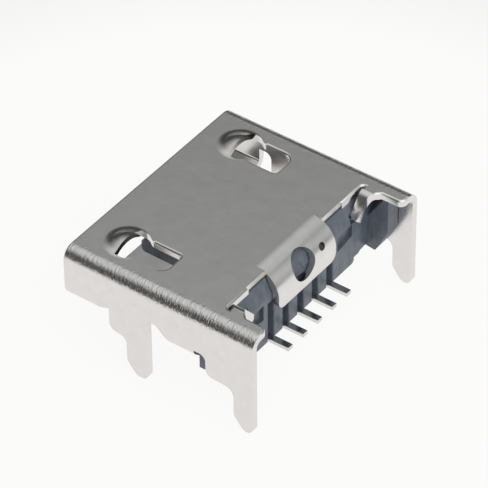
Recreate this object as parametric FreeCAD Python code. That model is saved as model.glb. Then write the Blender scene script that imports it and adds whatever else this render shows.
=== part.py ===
import FreeCAD, Part
import math
import os

from FreeCAD import Vector

# A surface-mount micro USB socket with four through-board legs.
# One folded steel shell holds a moulded insulator, and five contacts are moulded into the insulator.
# All sizes are in millimetres. X runs across the mouth and Z runs up from the board.
# Y is measured here from the mouth to the rear. The finished pieces are then moved forward
# by half of the shell's length, so that the origin lies on the board, under the shell's middle.

# Shell: the sheet and the section that it is folded to
sheet = 0.2
mouth_width = 6.9
mouth_height = 1.85
fold_radius = 0.38
wall_foot = 0.87
floor_half_width = 2.7
turn_radius = 0.3

# Shell: its length, and the rear edge of the roof
shell_length = 6.05
roof_setback = 0.38
roof_step = 0.07
roof_step_place = 2.05

# Shell: flaps that turn in under the socket, between the notches and slots in the side walls
front_flap_length = 1.08
middle_flap_length = 1.2
rear_slot_width = 0.37
flap_corner = 0.36
right_notch_height = 1.13
left_notch_height = 1.36
left_notch_corner = 0.22
middle_slot_height = 1.2
rear_slot_height = 0.99
slot_corner = 0.09
rear_slot_corner = 0.2

# Shell: legs, which are the side walls carried on down through the board
front_leg_root = 1.48
front_leg_place = 2.03
front_leg_width = 0.67
front_leg_reach = 0.88
rear_leg_width = 0.6
rear_leg_reach = 0.94
shoulder_height = 0.34
shoulder_radius = 0.22
tip_slope_width = 0.3
tip_slope_height = 0.38
tip_radius = 0.2

# Shell: strips that the roof sends back over the insulator's corners
strip_inner_edge = 2.98
strip_corner = 0.18

# Shell: retaining tongues, bent down from the inner edge of each strip
tongue_setback = 0.09
tongue_width = 0.27
tongue_flare = 0.26
tongue_lead = 0.24
tongue_length = 0.78
tongue_angle = 50.0
tongue_bend = 0.28
tongue_corner = 0.1

# Shell: keeper tab, folded down behind the insulator
keeper_half_width = 1.26
keeper_setback = 0.9
keeper_bend = 0.75
keeper_foot = 1.1
keeper_corner = 0.24
keeper_hole = 0.9
keeper_hole_shift = 0.07
keeper_hole_angle = 24.0
pin_hole = 0.23
pin_hole_shift = -0.74
pin_hole_angle = 27.0

# Shell: latch windows, each wider at its front
window_inner_edge = 2.03
window_width = 0.81
window_start = 1.2
window_length = 1.45
window_outer_corner = 0.3
window_inner_corner = 0.1
window_front_width = 1.13
window_front_length = 0.27
window_front_corner = 0.3
window_taper_length = 0.23
window_taper_corner = 0.2

# Shell: the raised arch in front of each latch window, a stamped dome that the window cuts in half
arch_height = 0.17
arch_inner_height = 0.21
arch_shoulder = 0.22
arch_foot = 0.54
arch_crown_round = 0.7
arch_foot_round = 0.5

# Shell: seam in the floor, locked by a dovetail
seam_gap = 0.03
dovetail_width = 0.9
dovetail_depth = 0.55
dovetail_flare = 0.16

# Insulator
slip = 0.02
block_length = 1.18
rear_body_length = 0.71
blade_half_width = 1.62
blade_thickness = 0.42
blade_drop = 0.33
blade_start = 1.0
blade_nose = 0.12
crown_slope_width = 0.2
crown_slope_height = 0.5
rear_body_foot = 0.27
foot_half_width = 2.4
foot_clearance = 0.05
foot_corner = 0.1
post_inner_face = 2.98
post_setback = 0.45
post_foot = 1.0
post_knee_width = 0.28
post_knee_height = 0.6
post_toe_width = 0.12
post_toe_height = 0.2
post_slope_width = 0.5
post_slope_height = 0.8
comb_width = 0.26
comb_depth = 0.24
comb_top = 1.36
comb_round = 0.08
cheek_inner = 1.63
cheek_outer = 2.3
cheek_depth = 0.11
cheek_top = 1.42
cheek_foot = 0.92

# Contacts
contact_count = 5
contact_pitch = 0.65
contact_width = 0.2
contact_thickness = 0.12
contact_proud = 0.04
contact_lead = 0.15
contact_depth = 0.61
contact_bend = 0.22
tail_length = 0.62

# Places that follow from the sizes above
half_width = mouth_width / 2 + sheet
shell_height = mouth_height + 2 * sheet
ceiling = shell_height - sheet
keeper_reach = shell_length - keeper_setback
roof_length = keeper_reach - roof_setback
tongue_start = roof_length + tongue_setback
block_rear = keeper_reach - sheet - slip
block_start = block_rear - block_length
floor_length = block_rear - rear_body_length - slip
middle_flap_start = floor_length - middle_flap_length
rear_leg_root = floor_length + rear_slot_width
beyond = 1.0


def across(y):
    """Place (x, z) on a plane that stands across the socket."""
    return lambda a, b: Vector(a, y, b)


def along(x):
    """Place (y, z) on a plane that stands along the socket."""
    return lambda a, b: Vector(x, a, b)


def level(z):
    """Place (x, y) on a level plane."""
    return lambda a, b: Vector(a, b, z)


def outline(corners, place):
    """Closed wire through (a, b) or (a, b, radius) corners, with an arc at each radius."""
    flat = [Vector(corner[0], corner[1], 0) for corner in corners]
    radii = [corner[2] if len(corner) > 2 else 0 for corner in corners]
    bends = []
    for i, corner in enumerate(flat):
        back = (flat[i - 1] - corner).normalize()
        ahead = (flat[(i + 1) % len(flat)] - corner).normalize()
        half_angle = back.getAngle(ahead) / 2
        reach = radii[i] / math.tan(half_angle)
        rise = radii[i] / math.sin(half_angle) - radii[i]
        middle = corner + (back + ahead).normalize() * rise if radii[i] else corner
        bends.append((corner + back * reach, middle, corner + ahead * reach))
    edges = []
    for i, (start, middle, end) in enumerate(bends):
        last = bends[i - 1][2]
        if last.distanceToPoint(start) > 1e-6:
            edges.append(Part.makeLine(place(last.x, last.y), place(start.x, start.y)))
        if radii[i]:
            points = [place(p.x, p.y) for p in (start, middle, end)]
            edges.append(Part.Arc(*points).toShape())
    return Part.Wire(edges)


def prism(corners, place, run):
    """Solid of an outline carried along a vector."""
    return Part.Face(outline(corners, place)).extrude(run)


def box(low, high):
    """Box between two opposite corners."""
    size = Vector(*high) - Vector(*low)
    return Part.makeBox(size.x, size.y, size.z, Vector(*low))


def flip(shape):
    """Mirror image of a shape, on the other side of the socket's middle."""
    return shape.mirror(Vector(0, 0, 0), Vector(1, 0, 0))


def both_sides(shape):
    """A shape and its mirror image."""
    return shape.fuse(flip(shape))


def section(inset, start, end):
    """The socket's section, drawn in by an inset from the shell's outside, from start to end."""
    corners = [
        (half_width, shell_height, fold_radius),
        (half_width, wall_foot, turn_radius),
        (floor_half_width, 0, turn_radius),
        (-floor_half_width, 0, turn_radius),
        (-half_width, wall_foot, turn_radius),
        (-half_width, shell_height, fold_radius),
    ]
    wire = outline(corners, across(start))
    if inset:
        wire = wire.makeOffset2D(-inset)
    return Part.Face(wire).extrude(Vector(0, end - start, 0))


def side_openings():
    """Everything below the side walls that the flaps leave open, on the +X side."""
    top = middle_slot_height + 2 * slot_corner
    low = -beyond
    open_x = floor_half_width - sheet
    run = Vector(half_width + beyond - open_x, 0, 0)
    front = [
        (front_flap_length, low),
        (front_flap_length, top),
        (middle_flap_start, top),
        (middle_flap_start, middle_slot_height),
        (middle_flap_start + flap_corner, wall_foot, flap_corner / 2),
        (middle_flap_start + flap_corner, low),
    ]
    rear = [
        (floor_length, low),
        (floor_length, top),
        (shell_length + beyond, top),
        (shell_length + beyond, low),
    ]
    return prism(front, along(open_x), run).fuse(prism(rear, along(open_x), run))


def front_leg(notch_height, notch_corner):
    """Side wall from the front notch to the middle slot, with the front leg, on the +X side."""
    top = middle_slot_height + 2 * slot_corner
    back = front_leg_place + front_leg_width
    corners = [
        (front_flap_length, top),
        (front_flap_length, notch_height),
        (front_leg_root, notch_height, notch_corner),
        (front_leg_root, shoulder_height, shoulder_radius),
        (front_leg_place, shoulder_height - sheet / 2, shoulder_radius),
        (front_leg_place, tip_slope_height - front_leg_reach, tip_radius),
        (front_leg_place + tip_slope_width, -front_leg_reach, tip_radius),
        (back, -front_leg_reach, tip_radius),
        (back, middle_slot_height, slot_corner),
        (middle_flap_start, middle_slot_height),
        (middle_flap_start, top),
    ]
    return prism(corners, along(half_width), Vector(-sheet, 0, 0))


def rear_leg():
    """Side wall from the rear slot to the shell's rear end, with the rear leg, on the +X side."""
    top = middle_slot_height + 2 * slot_corner
    front = shell_length - rear_leg_width
    corners = [
        (floor_length, top),
        (floor_length, rear_slot_height),
        (rear_leg_root, rear_slot_height, rear_slot_corner),
        (rear_leg_root, shoulder_height, shoulder_radius),
        (front, shoulder_height - sheet / 8, 1.3 * shoulder_radius),
        (front, tip_slope_height - rear_leg_reach, tip_radius),
        (front + tip_slope_width, -rear_leg_reach, tip_radius),
        (shell_length, -rear_leg_reach, tip_radius),
        (shell_length, top),
    ]
    return prism(corners, along(half_width), Vector(-sheet, 0, 0))


def roof_opening():
    """Plan of the roof's rear edge between the two strips, with the keeper tab's root."""
    root = keeper_reach - keeper_bend
    stepped = roof_length - roof_step
    half = [
        (strip_inner_edge + strip_corner, shell_length + beyond),
        (strip_inner_edge + strip_corner, shell_length),
        (strip_inner_edge, shell_length, strip_corner),
        (strip_inner_edge, roof_length, strip_corner / 2),
        (roof_step_place, roof_length),
        (roof_step_place, stepped),
        (keeper_half_width, stepped),
        (keeper_half_width, root),
    ]
    mirrored = [(-corner[0],) + corner[1:] for corner in reversed(half)]
    return prism(half + mirrored, level(ceiling - sheet), Vector(0, 0, 3 * sheet))


def floor_opening():
    """What the floor leaves open behind its rear edge."""
    x = floor_half_width - sheet
    return box((-x, floor_length, -sheet), (x, shell_length + beyond, 2 * sheet))


def seam():
    """The gap where the two ends of the sheet meet in the floor, round a dovetail."""
    middle = shell_length / 2
    near = middle - dovetail_width / 2
    far = middle + dovetail_width / 2
    line = [
        (0, -beyond),
        (0, near),
        (-dovetail_depth, near - dovetail_flare),
        (-dovetail_depth, far + dovetail_flare),
        (0, far),
        (0, floor_length + beyond),
    ]
    gaps = []
    for (x1, y1), (x2, y2) in zip(line, line[1:]):
        run = Vector(x2 - x1, y2 - y1, 0)
        end = run.Length + seam_gap / 2
        gap = box((-seam_gap / 2, -seam_gap / 2, -sheet), (seam_gap / 2, end, 2 * sheet))
        gap.rotate(Vector(0, 0, 0), Vector(0, 0, 1), math.degrees(math.atan2(-run.x, run.y)))
        gap.translate(Vector(x1, y1, 0))
        gaps.append(gap)
    return gaps[0].fuse(gaps[1:])


def arch(height, foot):
    """Solid under a smooth dome of a height, centred on the front edge of the +X latch window."""
    below = foot - sheet / 2
    reach = arch_foot + arch_foot_round / 2
    corners = [
        (0, below),
        (0, foot + height),
        (arch_shoulder, foot + height, arch_crown_round),
        (arch_foot, foot, arch_foot_round),
        (reach, foot),
        (reach, below),
    ]
    dome = Part.Face(outline(corners, across(0))).revolve(Vector(0, 0, 0), Vector(0, 0, 1), 360)
    dome.translate(Vector(window_inner_edge + window_width / 2, window_start, 0))
    return dome


def window():
    """Opening of the +X latch window."""
    outer = window_inner_edge + window_width
    end = window_start + window_length
    spread = (window_front_width - window_width) / 2
    taper_start = window_start + window_front_length
    taper_end = taper_start + window_taper_length
    corners = [
        (window_inner_edge - spread, window_start),
        (outer + spread, window_start),
        (outer + spread, taper_start, window_front_corner),
        (outer, taper_end, window_taper_corner),
        (outer, end, window_outer_corner),
        (window_inner_edge, end, window_inner_corner),
        (window_inner_edge, taper_end, window_taper_corner),
        (window_inner_edge - spread, taper_start, window_front_corner),
    ]
    return prism(corners, level(ceiling - sheet), Vector(0, 0, 3 * sheet + arch_height))


def keeper():
    """Keeper tab, folded down from the roof, with its two holes."""
    root = keeper_reach - keeper_bend - sheet
    inner = keeper_reach - sheet
    fold = [
        (root, shell_height),
        (keeper_reach, shell_height, keeper_bend),
        (keeper_reach, keeper_foot),
        (inner, keeper_foot),
        (inner, ceiling, keeper_bend - sheet),
        (root, ceiling),
    ]
    face = [
        (-keeper_half_width, shell_height + beyond),
        (-keeper_half_width, keeper_foot, keeper_corner),
        (keeper_half_width, keeper_foot, keeper_corner),
        (keeper_half_width, shell_height + beyond),
    ]
    tab = prism(fold, along(-half_width), Vector(2 * half_width, 0, 0))
    tab = tab.common(prism(face, across(root), Vector(0, beyond, 0)))
    tab = tab.cut(bend_hole(keeper_hole, keeper_hole_shift, keeper_hole_angle))
    return tab.cut(bend_hole(pin_hole, pin_hole_shift, pin_hole_angle))


def bend_hole(diameter, shift, angle):
    """Cutter for a round hole through the keeper tab's bend, at an angle above level."""
    slope = math.radians(angle)
    centre = Vector(shift, keeper_reach - keeper_bend, shell_height - keeper_bend)
    axis = Vector(0, math.cos(slope), math.sin(slope))
    return Part.makeCylinder(diameter / 2, 2 * keeper_bend, centre, axis)


def tongue_tip():
    """Where the upper face of the +X retaining tongue ends, across and up."""
    slope = math.radians(tongue_angle)
    x = strip_inner_edge - tongue_lead - tongue_length * math.cos(slope)
    return x, shell_height - tongue_length * math.sin(slope)


def retaining_tongue():
    """Tongue bent down and in from the +X strip, to stop the insulator from moving back."""
    slope = math.radians(tongue_angle)
    knee = strip_inner_edge - tongue_lead
    under_shift = sheet * math.tan(slope / 2)
    x, z = tongue_tip()
    fold = [
        (strip_inner_edge + sheet, shell_height),
        (knee, shell_height, tongue_bend),
        (x, z),
        (x + sheet * math.sin(slope), z - sheet * math.cos(slope)),
        (knee + under_shift, ceiling, tongue_bend - sheet),
        (strip_inner_edge + sheet, ceiling),
    ]
    rear = tongue_start + tongue_width
    plan = [
        (strip_inner_edge + sheet, tongue_start),
        (strip_inner_edge + sheet, rear + tongue_flare),
        (strip_inner_edge, rear + tongue_flare),
        (knee, rear, tongue_flare),
        (x, rear, tongue_corner),
        (x, tongue_start, tongue_corner),
    ]
    bent = prism(fold, across(tongue_start), Vector(0, tongue_width + tongue_flare, 0))
    return bent.common(prism(plan, level(0), Vector(0, 0, shell_height + beyond)))


def shell():
    """The folded shell, one piece of sheet."""
    tube = section(0, 0, shell_length).cut(section(sheet, -beyond, shell_length + beyond))
    tube = tube.cut([both_sides(side_openings()), roof_opening(), floor_opening(), seam()])
    right_leg = front_leg(right_notch_height, slot_corner)
    left_leg = flip(front_leg(left_notch_height, left_notch_corner))
    arches = both_sides(arch(arch_height, shell_height))
    body = tube.fuse([right_leg, left_leg, both_sides(rear_leg()), arches])
    body = body.cut([both_sides(arch(arch_inner_height, ceiling)), both_sides(window())])
    body = body.fuse([keeper(), both_sides(retaining_tongue())])
    return body.removeSplitter()


def blade():
    """Tongue of the insulator that carries the contacts into the mouth."""
    top = ceiling - blade_drop
    foot = top - blade_thickness
    corners = [
        (blade_start, foot, blade_nose),
        (block_start + block_length / 4, foot),
        (block_start + block_length / 4, top),
        (blade_start, top, blade_nose),
    ]
    return prism(corners, along(-blade_half_width), Vector(2 * blade_half_width, 0, 0))


def rear_body():
    """Rear of the insulator, which fills the shell's full width between the rear legs."""
    outer = half_width - sheet - slip
    low = rear_body_foot
    corners = [
        (outer, ceiling - slip, fold_radius - sheet - slip),
        (outer, low),
        (foot_half_width, low),
        (foot_half_width, foot_clearance, foot_corner),
    ]
    mirrored = [(-corner[0],) + corner[1:] for corner in reversed(corners)]
    start = floor_length + slip
    return prism(corners + mirrored, across(start), Vector(0, block_rear - start, 0))


def post():
    """Post of the insulator under the +X strip, behind the block."""
    top = ceiling - slip
    rear = shell_length - post_setback
    root = block_rear - comb_depth
    outer = half_width - sheet - slip
    knee = rear - post_knee_width
    corners = [
        (root, top),
        (rear, top),
        (rear, post_foot),
        (knee, post_foot - post_knee_height),
        (knee - post_toe_width, post_foot - post_knee_height - post_toe_height),
        (root, rear_body_foot),
    ]
    bar = prism(corners, along(post_inner_face), Vector(outer - post_inner_face, 0, 0))
    bevel = [
        (block_rear, top),
        (block_rear + post_slope_width, top),
        (block_rear, top - post_slope_height),
    ]
    rise = outer - post_inner_face
    bar = bar.cut(prism(bevel, along(post_inner_face), Vector(rise, 0, rise)))
    return bar.common(fold_room(root, rear))


def fold_room(start, end):
    """Space inside the shell's side walls and roof, rounded where the sheet folds."""
    outer = half_width - sheet - slip
    radius = fold_radius - sheet - slip
    corners = [
        (outer, ceiling - slip, radius),
        (-outer, ceiling - slip, radius),
        (-outer, 0),
        (outer, 0),
    ]
    return prism(corners, across(start), Vector(0, end - start, 0))


def comb_slot(x):
    """Slot in the insulator's rear face round one contact's tail."""
    half = comb_width / 2
    bottom = block_rear - comb_depth
    corners = [
        (x - half - comb_round, block_rear + beyond),
        (x - half - comb_round, block_rear),
        (x - half, block_rear, comb_round / 2),
        (x - half, bottom, comb_round),
        (x + half, bottom, comb_round),
        (x + half, block_rear, comb_round / 2),
        (x + half + comb_round, block_rear),
        (x + half + comb_round, block_rear + beyond),
    ]
    return prism(corners, level(-sheet), Vector(0, 0, comb_top + sheet))


def crown_slope():
    """Slope along the top rear edge of the insulator."""
    corners = [
        (block_rear - crown_slope_width, ceiling),
        (block_rear + beyond, ceiling),
        (block_rear + beyond, ceiling - crown_slope_height),
        (block_rear, ceiling - crown_slope_height),
    ]
    return prism(corners, along(-post_inner_face), Vector(2 * post_inner_face, 0, 0))


def crown_round():
    """What the insulator's top rear edge gives up to the keeper tab's bend."""
    y = keeper_reach - keeper_bend
    z = shell_height - keeper_bend
    x = keeper_half_width + slip
    corner = box((-x, y, z), (x, block_rear, ceiling))
    room = Part.makeCylinder(keeper_bend - sheet - slip, 2 * x, Vector(-x, y, z), Vector(1, 0, 0))
    return corner.cut(room)


def tongue_room():
    """Pocket in the insulator round the +X retaining tongue."""
    x, z = tongue_tip()
    return box((x - slip, tongue_start - slip, z - sheet), (post_inner_face, shell_length, shell_height))


def cheek():
    """Shallow hollow in the rear face, between the comb and the +X post."""
    corners = [
        (cheek_inner, cheek_foot),
        (cheek_outer, cheek_foot + cheek_depth),
        (cheek_outer, cheek_top),
        (cheek_inner, cheek_top),
    ]
    return prism(corners, across(block_rear - cheek_depth), Vector(0, beyond, 0))


def contact_places():
    """Middle of each contact across the socket, from -X to +X."""
    first = -contact_pitch * (contact_count - 1) / 2
    return [first + i * contact_pitch for i in range(contact_count)]


def contact(x):
    """One contact: flat under the blade, down through the block and out along the board."""
    under_blade = ceiling - blade_drop - blade_thickness - contact_proud
    start = blade_start + contact_lead
    drop_front = block_rear - contact_depth
    drop_rear = drop_front + contact_thickness
    tip = block_rear + tail_length
    inner_bend = contact_bend - contact_thickness
    corners = [
        (start, under_blade),
        (drop_front, under_blade, inner_bend),
        (drop_front, 0, contact_bend),
        (tip, 0),
        (tip, contact_thickness),
        (drop_rear, contact_thickness, inner_bend),
        (drop_rear, under_blade + contact_thickness, contact_bend),
        (start, under_blade + contact_thickness),
    ]
    return prism(corners, along(x - contact_width / 2), Vector(contact_width, 0, 0))


def housing():
    """The moulded insulator, one piece, with the contacts moulded in."""
    block = section(sheet + slip, block_start, block_rear)
    block = block.fuse([blade(), rear_body(), both_sides(post())])
    block = block.cut([crown_slope(), crown_round(), both_sides(tongue_room()), both_sides(cheek())])
    block = block.cut([comb_slot(x) for x in contact_places()])
    block = block.cut([contact(x) for x in contact_places()])
    return block.removeSplitter()


def save(name, shape):
    """Write one piece, moved so that the origin is under the middle of the shell."""
    shape.translate(Vector(0, -shell_length / 2, 0))
    solids = shape.Solids
    piece = solids[0] if len(solids) == 1 else Part.makeCompound(solids)
    piece.exportStep("parts/" + name + ".step")
    print(name, "solids", len(solids), "valid", piece.isValid(), "volume", round(piece.Volume, 4))


os.makedirs("parts", exist_ok=True)
save("shell", shell())
save("housing", housing())
for number, place in enumerate(contact_places(), start=1):
    save("contact_" + str(number), contact(place))
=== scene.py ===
import math

import bmesh
import bpy
from mathutils import Matrix, Vector
from mathutils.bvhtree import BVHTree


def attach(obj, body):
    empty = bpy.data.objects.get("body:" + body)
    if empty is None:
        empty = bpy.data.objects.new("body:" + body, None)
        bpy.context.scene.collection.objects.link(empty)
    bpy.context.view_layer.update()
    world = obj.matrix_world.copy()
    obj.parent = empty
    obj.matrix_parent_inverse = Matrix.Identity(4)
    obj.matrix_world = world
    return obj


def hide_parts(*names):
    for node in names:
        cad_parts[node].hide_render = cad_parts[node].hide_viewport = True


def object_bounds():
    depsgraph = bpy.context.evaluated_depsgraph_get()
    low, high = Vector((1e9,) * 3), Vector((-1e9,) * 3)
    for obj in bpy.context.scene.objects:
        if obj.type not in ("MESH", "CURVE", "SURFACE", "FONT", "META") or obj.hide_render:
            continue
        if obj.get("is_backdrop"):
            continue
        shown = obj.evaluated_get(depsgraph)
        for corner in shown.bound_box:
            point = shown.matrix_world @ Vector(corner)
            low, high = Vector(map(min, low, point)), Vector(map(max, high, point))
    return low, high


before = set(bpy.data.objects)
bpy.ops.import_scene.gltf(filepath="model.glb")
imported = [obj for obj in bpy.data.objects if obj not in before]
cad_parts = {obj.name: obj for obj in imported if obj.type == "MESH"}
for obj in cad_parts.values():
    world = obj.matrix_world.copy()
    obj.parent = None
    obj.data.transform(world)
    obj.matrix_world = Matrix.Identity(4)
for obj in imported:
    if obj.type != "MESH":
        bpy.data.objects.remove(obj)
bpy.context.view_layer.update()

# A micro USB socket with a plated steel shell, a dark moulded insulator and five plated contacts.
# Lengths are in metres. MM turns a length in millimetres into metres.
MM = 0.001
CONTACT_COUNT = 5

# The photograph's camera: the photograph's side and the focal length in pixels, and the camera's place
# and tilt
PHOTO_SIDE = 488
FOCAL_PIXELS = 3756.7
SENSOR_WIDTH = 36.0
CAMERA_AZIMUTH = math.radians(126.71)
CAMERA_ELEVATION = math.radians(41.0)
CAMERA_ROLL = math.radians(-0.563)
CAMERA_DISTANCE = 100.62 * MM
CAMERA_AIM = Vector((-1.800, -1.256, -0.506)) * MM
CAMERA_NEAR = 1 * MM
CAMERA_FAR = 10000 * MM

# Widths of the eased edges, and the segments across them. The worn edges are at the shell's mouth and
# on top of its roof. Edges without room for their width stay sharp.
WORN_EDGE = 0.07 * MM
WORN_SEGMENTS = 4
SHELL_EDGE = 0.035 * MM
INSULATOR_EDGE = 0.03 * MM
CONTACT_EDGE = 0.012 * MM
EDGE_SEGMENTS = 3

# Edges that turn by more than SHARP_ANGLE are sharp, and faces that turn by less than FLAT_ANGLE are
# one flat area. A flat area wider than FLAT_WIDTH looks flat. Elsewhere the shading runs across faces
# that turn by less than BLEND_ANGLE. Corners nearer than WELD are one.
SHARP_ANGLE = math.radians(28)
FLAT_ANGLE = math.radians(0.5)
BLEND_ANGLE = math.radians(50)
FLAT_WIDTH = 0.3 * MM
WELD = 0.0005 * MM

# An eased edge has room where its faces stay within STRAY_SHARE of its width from the piece's surface,
# and where the cosine between their normals and the surface's stays above TURNED_OVER. Edges that meet
# at less than RUN_ANGLE are one smooth run.
STRAY_SHARE = 0.45
TURNED_OVER = -0.6
RUN_ANGLE = math.radians(40)

# Mesh layers that mark the eased faces and number the corners
EASED_MARK = "eased"
CORNER_NUMBER = "corner_number"

# Studio light: a grey ceiling that fades to dim walls, a paler side behind the socket, and a soft lamp
# above it. Each level goes with the cosine of the angle from the middle of its light.
CEILING_MIDDLE = Vector((-0.08, -0.20, 0.95))
CEILING_LEVELS = (
    (0.50, 0.06),
    (0.64, 0.07),
    (0.74, 0.285),
    (0.80, 0.33),
    (0.84, 0.46),
    (0.88, 0.62),
    (0.94, 0.74),
)
PALE_SIDE = Vector((0.0, 1.0, 0.0))
PALE_FADE = (-0.45, 0.3)
PALE_LEVEL = 0.3
STUDIO_COLOUR = (0.975, 1.0, 1.01)
LAMP_MIDDLE = Vector((0.3, 0.85, 0.5))
LAMP_FADE = (0.52, 0.8)
LAMP_LEVEL = 0.85

# The pale paper under the socket: half its side, the share of its own light where it is the background, and
# how far from the socket it is evenly bright and where painted shade has turned it fully grey, in
# millimetres
FLOOR_HALF = 400 * MM
FLOOR_GLOW = 0.92
FLOOR_PAINTED_SHADE = (12.0, 36.0)

# Where the shell's long folds begin and are full, across and down, in millimetres
FOLD_REACH_ACROSS = (3.15, 3.35)
FOLD_REACH_DOWN = (1.75, 1.95)

# The place of the shell's mouth, the heights of the shell's middle and of its roof, and how far up the
# normal of a roof's face has to reach
MOUTH_PLACE = -3.025 * MM
SHELL_MIDDLE = 1.1 * MM
ROOF_TOP = 2.25 * MM
FACING_UP = 0.7

# The values between which most of a noise lies
NOISE_REACH = (0.3, 0.7)

# The sockets of a Mix node that carry colours
MIX_FIRST = 6
MIX_SECOND = 7
MIX_RESULT = 2


def bevel(bm, edges, width, segments):
    """Round some edges of a mesh over a width, and give the faces that this makes."""
    made = bmesh.ops.bevel(bm, geom=edges, offset=width, offset_type="OFFSET", segments=segments,
                           profile=0.5, affect="EDGES", clamp_overlap=False, material=-1)
    return made["faces"]


def stray_corners(bm, surface, width):
    """Numbers of the corners where rounding leaves the piece's surface or turns a face over."""
    number = bm.verts.layers.int[CORNER_NUMBER]
    stray = set()
    for vert in bm.verts:
        if surface.find_nearest(vert.co)[3] > STRAY_SHARE * width:
            stray.add(vert[number])
    bmesh.ops.triangulate(bm, faces=bm.faces)
    bm.normal_update()
    for face in bm.faces:
        _, outward, _, gap = surface.find_nearest(face.calc_center_median())
        if gap > STRAY_SHARE * width or face.normal.dot(outward) < TURNED_OVER:
            stray.update(vert[number] for vert in face.verts)
    return stray


def whole_runs(bm, tight, chosen):
    """The tight edges with the rest of each smooth run of chosen edges that they lie on."""
    found = set(tight)
    waiting = [edge for edge in bm.edges if edge.index in tight]
    for edge in waiting:
        for vert in edge.verts:
            along = vert.co - edge.other_vert(vert).co
            for other in vert.link_edges:
                onward = other.other_vert(vert).co - vert.co
                if other.index in chosen - found and along.angle(onward, math.pi) < RUN_ANGLE:
                    found.add(other.index)
                    waiting.append(other)
    return found


def roomy_edges(bm, edges, width, segments, whole):
    """The edges that have room for their rounding, or the whole runs that do."""
    surface = BVHTree.FromBMesh(bm)
    number = bm.verts.layers.int[CORNER_NUMBER]
    for i, vert in enumerate(bm.verts):
        vert[number] = i
    bm.edges.index_update()
    chosen = {edge.index for edge in edges}
    while True:
        # The rounding is tried on a copy, and edges beside its stray corners are left out of the next try.
        trial = bm.copy()
        bevel(trial, [e for i, e in enumerate(trial.edges) if i in chosen], width, segments)
        stray = stray_corners(trial, surface, width)
        trial.free()
        beside = {v for e in bm.edges if any(w[number] in stray for w in e.verts) for v in e.verts}
        tight = {e.index for v in beside for e in v.link_edges} & chosen
        if not tight:
            return [e for e in bm.edges if e.index in chosen]
        chosen -= whole_runs(bm, tight, chosen) if whole else tight


def ease(bm, edges, width, segments, whole):
    """Round those of some edges that have room for it, and mark the faces that this makes."""
    mark = bm.faces.layers.int[EASED_MARK]
    for face in bevel(bm, roomy_edges(bm, edges, width, segments, whole), width, segments):
        face[mark] = 1


def sharp_edges(bm):
    """Edges that turn by more than the curves of the piece do."""
    return [e for e in bm.edges if e.is_manifold and e.calc_face_angle() > SHARP_ANGLE]


def worn_edges(bm):
    """Sharp edges at the shell's mouth with a face that leans outwards, and those on top of its roof."""
    found = []
    for edge in sharp_edges(bm):
        middle = (edge.verts[0].co + edge.verts[1].co) / 2
        away = Vector((middle.x, 0, middle.z - SHELL_MIDDLE))
        leans_out = max(f.normal.dot(away) for f in edge.link_faces) > 0
        on_mouth = abs(middle.y - MOUTH_PLACE) < WELD and leans_out
        facing_up = max(f.normal.z for f in edge.link_faces) > FACING_UP
        on_roof = abs(middle.z - ROOF_TOP) < WELD and facing_up
        if on_mouth or on_roof:
            found.append(edge)
    return found


def wide_faces(bm):
    """Faces that belong to flat areas wide enough to look flat. Faces too thin for a normal join none."""
    found = set()
    seen = set()
    for start in bm.faces:
        if start in seen:
            continue
        seen.add(start)
        area = [start]
        for face in area:
            for edge in face.edges:
                for other in edge.link_faces:
                    if other not in seen and other.normal.angle(start.normal, math.pi) < FLAT_ANGLE:
                        seen.add(other)
                        area.append(other)
        inside = set(area)
        rim = sum(e.calc_length() for f in area for e in f.edges if not inside.issuperset(e.link_faces))
        if sum(face.calc_area() for face in area) > FLAT_WIDTH * rim / 2:
            found.update(area)
    return found


def near_corners(verts, face):
    """The face corners at some vertices whose faces turn little from a face, or are too thin to tell."""
    corners = [c for v in verts for c in v.link_loops]
    return [c for c in corners if c.face.normal.angle(face.normal, 0) < BLEND_ANGLE]


def corner_normals(bm):
    """A normal for each face corner: flat areas stay flat, and curves and eased edges run into them."""
    mark = bm.faces.layers.int[EASED_MARK]
    wide = wide_faces(bm)
    normals = []
    for face in bm.faces:
        for corner in face.loops:
            if face in wide:
                normals.append(face.normal.copy())
                continue
            near = near_corners([corner.vert], face)
            flat = [c for c in near if c.face in wide]
            plain = [c for c in near if not c.face[mark]]
            if not flat and len(plain) == len(near):
                beside = [e.other_vert(corner.vert) for e in corner.vert.link_edges]
                plain += [c for c in near_corners(beside, face) if not c.face[mark]]
            total = sum((c.face.normal * c.calc_angle() for c in flat or plain or near), Vector())
            normals.append(total.normalized())
    return normals


def eased_copy(node, name, edge, finish):
    """A copy of a CAD node in its place, with its loose faces joined and its sharp edges eased."""
    mesh = bpy.data.meshes.new(name)
    bm = bmesh.new()
    bm.from_mesh(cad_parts[node].data)
    bm.faces.layers.int.new(EASED_MARK)
    bm.verts.layers.int.new(CORNER_NUMBER)
    bmesh.ops.remove_doubles(bm, verts=bm.verts, dist=WELD)
    bmesh.ops.dissolve_limit(bm, angle_limit=FLAT_ANGLE, verts=bm.verts, edges=bm.edges)
    if node == "shell":
        ease(bm, worn_edges(bm), WORN_EDGE, WORN_SEGMENTS, whole=False)
    ease(bm, sharp_edges(bm), edge, EDGE_SEGMENTS, whole=True)
    bmesh.ops.dissolve_degenerate(bm, dist=WELD, edges=bm.edges)
    bm.normal_update()
    normals = corner_normals(bm)
    bm.to_mesh(mesh)
    bm.free()
    mesh.shade_smooth()
    mesh.normals_split_custom_set(normals)
    mesh.materials.append(finish)
    piece = bpy.data.objects.new(name, mesh)
    bpy.context.scene.collection.objects.link(piece)
    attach(piece, "root")
    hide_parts(node)
    return piece


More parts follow.
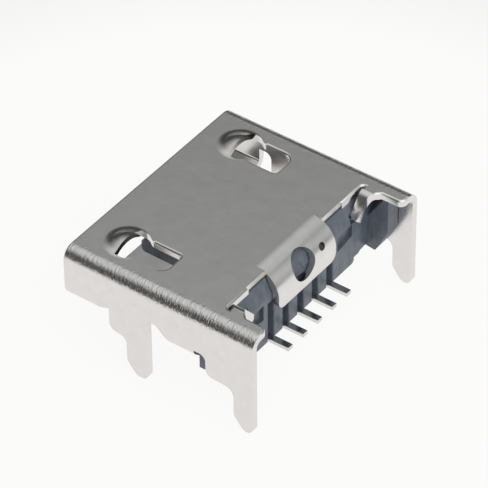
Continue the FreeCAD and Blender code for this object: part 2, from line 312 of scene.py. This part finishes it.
class Nodes:
    """The node tree of a material or world, with one short call for each kind of node."""

    def __init__(self, owner):
        owner.use_nodes = True
        self.owner = owner
        self.tree = owner.node_tree
        self.shader = self.tree.nodes.get("Principled BSDF")

    def add(self, kind, **settings):
        """A new node of a kind, with some of its settings."""
        node = self.tree.nodes.new(kind)
        for key, value in settings.items():
            setattr(node, key, value)
        return node

    def link(self, output, target):
        """Lead an output to a node's input."""
        self.tree.links.new(output, target)

    def place(self, scale=(1, 1, 1)):
        """Object coordinates in millimetres, stretched by a scale along each axis."""
        coordinates = self.add("ShaderNodeTexCoord")
        mapping = self.add("ShaderNodeMapping")
        mapping.inputs["Scale"].default_value = [value / MM for value in scale]
        self.link(coordinates.outputs["Object"], mapping.inputs["Vector"])
        return mapping.outputs["Vector"]

    def noise(self, scale, detail=3.0, roughness=0.5, stretch=(1, 1, 1)):
        """Noise with so many features to the millimetre."""
        noise = self.add("ShaderNodeTexNoise")
        noise.inputs["Scale"].default_value = scale
        noise.inputs["Detail"].default_value = detail
        noise.inputs["Roughness"].default_value = roughness
        self.link(self.place(stretch), noise.inputs["Vector"])
        return noise.outputs["Fac"]

    def spots(self, scale, size):
        """Sparse round spots, 1 inside and 0 outside, of a size in millimetres."""
        cells = self.add("ShaderNodeTexVoronoi", feature="F1")
        cells.inputs["Scale"].default_value = scale
        self.link(self.place(), cells.inputs["Vector"])
        return self.range(cells.outputs["Distance"], size * scale, size * scale * 0.5, 0, 1)

    def range(self, value, low, high, to_low, to_high):
        """A value carried from one range to another and kept inside it."""
        node = self.add("ShaderNodeMapRange")
        node.inputs["From Min"].default_value = low
        node.inputs["From Max"].default_value = high
        node.inputs["To Min"].default_value = to_low
        node.inputs["To Max"].default_value = to_high
        self.link(value, node.inputs["Value"])
        return node.outputs["Result"]

    def spread(self, noise, low, high):
        """A noise with most of its values spread from a low one to a high one."""
        return self.range(noise, *NOISE_REACH, low, high)

    def combine(self, first, second, operation="ADD"):
        """Two values added, or combined by another operation."""
        node = self.add("ShaderNodeMath", operation=operation)
        self.link(first, node.inputs[0])
        self.link(second, node.inputs[1])
        return node.outputs["Value"]

    def colours(self, value, first, second):
        """A first colour, plain or from a texture, that turns into a second as value goes from 0 to 1."""
        node = self.add("ShaderNodeMix", data_type="RGBA")
        self.link(value, node.inputs["Factor"])
        if isinstance(first, tuple):
            node.inputs[MIX_FIRST].default_value = (*first, 1)
        else:
            self.link(first, node.inputs[MIX_FIRST])
        node.inputs[MIX_SECOND].default_value = (*second, 1)
        return node.outputs[MIX_RESULT]

    def bump(self, height, depth, below=None):
        """Bump of a depth in millimetres, over the bump below it."""
        node = self.add("ShaderNodeBump")
        node.inputs["Strength"].default_value = 1.0
        node.inputs["Distance"].default_value = depth * MM
        self.link(height, node.inputs["Height"])
        if below is not None:
            self.link(below, node.inputs["Normal"])
        return node.outputs["Normal"]

    def on_folds(self):
        """1 on the shell's two long folds and 0 on its flat roof and walls."""
        parts = self.add("ShaderNodeSeparateXYZ")
        self.link(self.place(), parts.inputs["Vector"])
        aside = self.add("ShaderNodeMath", operation="ABSOLUTE")
        self.link(parts.outputs["X"], aside.inputs[0])
        past_roof = self.range(aside.outputs["Value"], *FOLD_REACH_ACROSS, 0, 1)
        above_wall = self.range(parts.outputs["Z"], *FOLD_REACH_DOWN, 0, 1)
        return self.combine(past_roof, above_wall, "MULTIPLY")

    def toward(self, middle):
        """The cosine of the angle between the world's direction and a middle direction."""
        coordinates = self.add("ShaderNodeTexCoord")
        dot = self.add("ShaderNodeVectorMath", operation="DOT_PRODUCT")
        dot.inputs[1].default_value = middle.normalized()
        self.link(coordinates.outputs["Generated"], dot.inputs[0])
        return dot.outputs["Value"]

    def to_shader(self, socket, output):
        """Lead an output to one of the shader's sockets."""
        self.link(output, self.shader.inputs[socket])


def nickel_plate():
    """Satin nickel plate on steel sheet: faint clouds, a few dark specks and a coarse grain on the folds."""
    nodes = Nodes(bpy.data.materials.new("nickel_plate"))
    nodes.shader.inputs["Metallic"].default_value = 1.0
    dull_nickel = (0.735, 0.715, 0.695)
    clean_nickel = (0.78, 0.76, 0.74)
    dark_speck = (0.25, 0.24, 0.22)
    clouds = nodes.spread(nodes.noise(3.0, detail=6.0, roughness=0.7), 0, 1)
    plate = nodes.colours(clouds, dull_nickel, clean_nickel)
    nodes.to_shader("Base Color", nodes.colours(nodes.spots(1.1, size=0.025), plate, dark_speck))
    smears = nodes.noise(2.6, detail=4.0, roughness=0.65, stretch=(1.0, 0.45, 1.0))
    nodes.to_shader("Roughness", nodes.spread(smears, 0.18, 0.25))
    waves = nodes.bump(nodes.noise(1.8), depth=0.003)
    skin = nodes.bump(nodes.noise(20.0, roughness=0.6), depth=0.0008, below=waves)
    drag = nodes.noise(17.0, detail=2.0, roughness=0.8, stretch=(0.3, 1.0, 0.3))
    drag = nodes.range(drag, 0.2, 0.8, -1, 1)
    dragged = nodes.combine(drag, nodes.on_folds(), "MULTIPLY")
    nodes.to_shader("Normal", nodes.bump(dragged, depth=0.006, below=skin))
    return nodes.owner


def moulded_plastic():
    """Dark slate moulded plastic with a satin skin and faint flow marks."""
    nodes = Nodes(bpy.data.materials.new("moulded_plastic"))
    dark_slate = (0.090, 0.105, 0.130)
    pale_slate = (0.150, 0.170, 0.205)
    flow = nodes.noise(5.0, detail=4.0, roughness=0.65, stretch=(1.0, 1.0, 0.35))
    flow = nodes.spread(flow, 0, 1)
    nodes.to_shader("Base Color", nodes.colours(flow, dark_slate, pale_slate))
    skin = nodes.noise(6.0, detail=4.0, roughness=0.6)
    nodes.to_shader("Roughness", nodes.spread(skin, 0.28, 0.42))
    grain = nodes.bump(nodes.noise(30.0, detail=2.0), depth=0.0012)
    waves = nodes.bump(nodes.noise(2.2), depth=0.04, below=grain)
    nodes.to_shader("Normal", waves)
    return nodes.owner


def tin_plate():
    """Matte tin plate on the contacts, with a fine crystalline grain."""
    nodes = Nodes(bpy.data.materials.new("tin_plate"))
    nodes.shader.inputs["Metallic"].default_value = 1.0
    grey_tin = (0.64, 0.63, 0.61)
    pale_tin = (0.75, 0.74, 0.71)
    crystals = nodes.spread(nodes.noise(9.0, detail=4.0, roughness=0.6), 0, 1)
    nodes.to_shader("Base Color", nodes.colours(crystals, grey_tin, pale_tin))
    nodes.to_shader("Roughness", nodes.spread(nodes.noise(14.0), 0.14, 0.22))
    grain = nodes.bump(nodes.noise(40.0), depth=0.0005)
    nodes.to_shader("Normal", nodes.bump(nodes.noise(7.0), depth=0.002, below=grain))
    return nodes.owner


def floor_paper():
    """White paper, lit partly from behind where it is the background, so that shadows stay faint, with
    painted shade that greys it far from the socket.
    """
    nodes = Nodes(bpy.data.materials.new("floor_paper"))
    white_paper = (0.995, 0.990, 0.985)
    paper_in_painted_shade = (0.55, 0.545, 0.54)
    # Painted shade: the paper and its glow turn from white to grey further from the socket, as if the studio
    # light fell off.
    distance = nodes.add("ShaderNodeVectorMath", operation="LENGTH")
    nodes.link(nodes.place(), distance.inputs[0])
    painted_shade = nodes.range(distance.outputs["Value"], *FLOOR_PAINTED_SHADE, 0, 1)
    paper = nodes.colours(painted_shade, white_paper, paper_in_painted_shade)
    nodes.to_shader("Base Color", paper)
    nodes.shader.inputs["Roughness"].default_value = 0.9
    path = nodes.add("ShaderNodeLightPath")
    seen = nodes.combine(path.outputs["Is Camera Ray"], path.outputs["Is Glossy Ray"])
    seen = nodes.combine(seen, path.outputs["Is Transmission Ray"])
    glow = nodes.add("ShaderNodeEmission")
    nodes.link(paper, glow.inputs["Color"])
    mix = nodes.add("ShaderNodeMixShader")
    nodes.link(nodes.range(seen, 0, 1, 0, FLOOR_GLOW), mix.inputs["Fac"])
    nodes.link(nodes.shader.outputs["BSDF"], mix.inputs[1])
    nodes.link(glow.outputs["Emission"], mix.inputs[2])
    nodes.link(mix.outputs["Shader"], nodes.tree.nodes["Material Output"].inputs["Surface"])
    return nodes.owner


def floor():
    """A plain pale sheet under the socket's legs."""
    legs_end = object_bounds()[0].z
    mesh = bpy.data.meshes.new("floor")
    bm = bmesh.new()
    bmesh.ops.create_grid(bm, x_segments=1, y_segments=1, size=FLOOR_HALF)
    bmesh.ops.translate(bm, vec=(0, 0, legs_end), verts=bm.verts)
    bm.to_mesh(mesh)
    bm.free()
    mesh.materials.append(floor_paper())
    sheet = bpy.data.objects.new("floor", mesh)
    bpy.context.scene.collection.objects.link(sheet)
    sheet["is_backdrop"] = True


def studio_light():
    """The studio round the socket, as light that comes from each direction."""
    nodes = Nodes(bpy.data.worlds.new("studio"))
    bpy.context.scene.world = nodes.owner
    ceiling = nodes.add("ShaderNodeValToRGB")
    stops = ceiling.color_ramp.elements
    stops.remove(stops[0])
    for i, (place, level) in enumerate(CEILING_LEVELS):
        stop = stops[0] if i == 0 else stops.new(place)
        stop.position = place
        stop.color = (level, level, level, 1)
    nodes.link(nodes.toward(CEILING_MIDDLE), ceiling.inputs["Fac"])
    pale = nodes.range(nodes.toward(PALE_SIDE), *PALE_FADE, 0, PALE_LEVEL)
    lamp = nodes.range(nodes.toward(LAMP_MIDDLE), *LAMP_FADE, 0, LAMP_LEVEL)
    light = nodes.combine(nodes.combine(ceiling.outputs["Color"], pale), lamp)
    nodes.link(light, nodes.tree.nodes["Background"].inputs["Strength"])
    nodes.tree.nodes["Background"].inputs["Color"].default_value = (*STUDIO_COLOUR, 1)


def camera():
    """The camera at the photograph's place, with its long lens and slight roll."""
    turn = CAMERA_AZIMUTH
    lift = CAMERA_ELEVATION
    back = Vector((math.sin(turn) * math.cos(lift), -math.cos(turn) * math.cos(lift), math.sin(lift)))
    level = Vector((math.cos(turn), math.sin(turn), 0))
    rise = back.cross(level)
    right = level * math.cos(CAMERA_ROLL) + rise * math.sin(CAMERA_ROLL)
    up = back.cross(right)
    data = bpy.data.cameras.new("photo_camera")
    data.sensor_width = SENSOR_WIDTH
    data.lens = FOCAL_PIXELS / PHOTO_SIDE * SENSOR_WIDTH
    data.clip_start = CAMERA_NEAR
    data.clip_end = CAMERA_FAR
    placed = bpy.data.objects.new("photo_camera", data)
    axes = Matrix((right, up, back)).transposed().to_4x4()
    placed.matrix_world = Matrix.Translation(CAMERA_AIM + back * CAMERA_DISTANCE) @ axes
    bpy.context.scene.collection.objects.link(placed)
    bpy.context.scene.camera = placed


steel = nickel_plate()
plastic = moulded_plastic()
tin = tin_plate()
eased_copy("shell", "plated_shell", SHELL_EDGE, steel)
eased_copy("housing", "moulded_insulator", INSULATOR_EDGE, plastic)
for number in range(1, CONTACT_COUNT + 1):
    eased_copy(f"contact_{number}", f"plated_contact_{number}", CONTACT_EDGE, tin)
floor()
studio_light()
camera()
bpy.context.scene.view_settings.view_transform = "Standard"
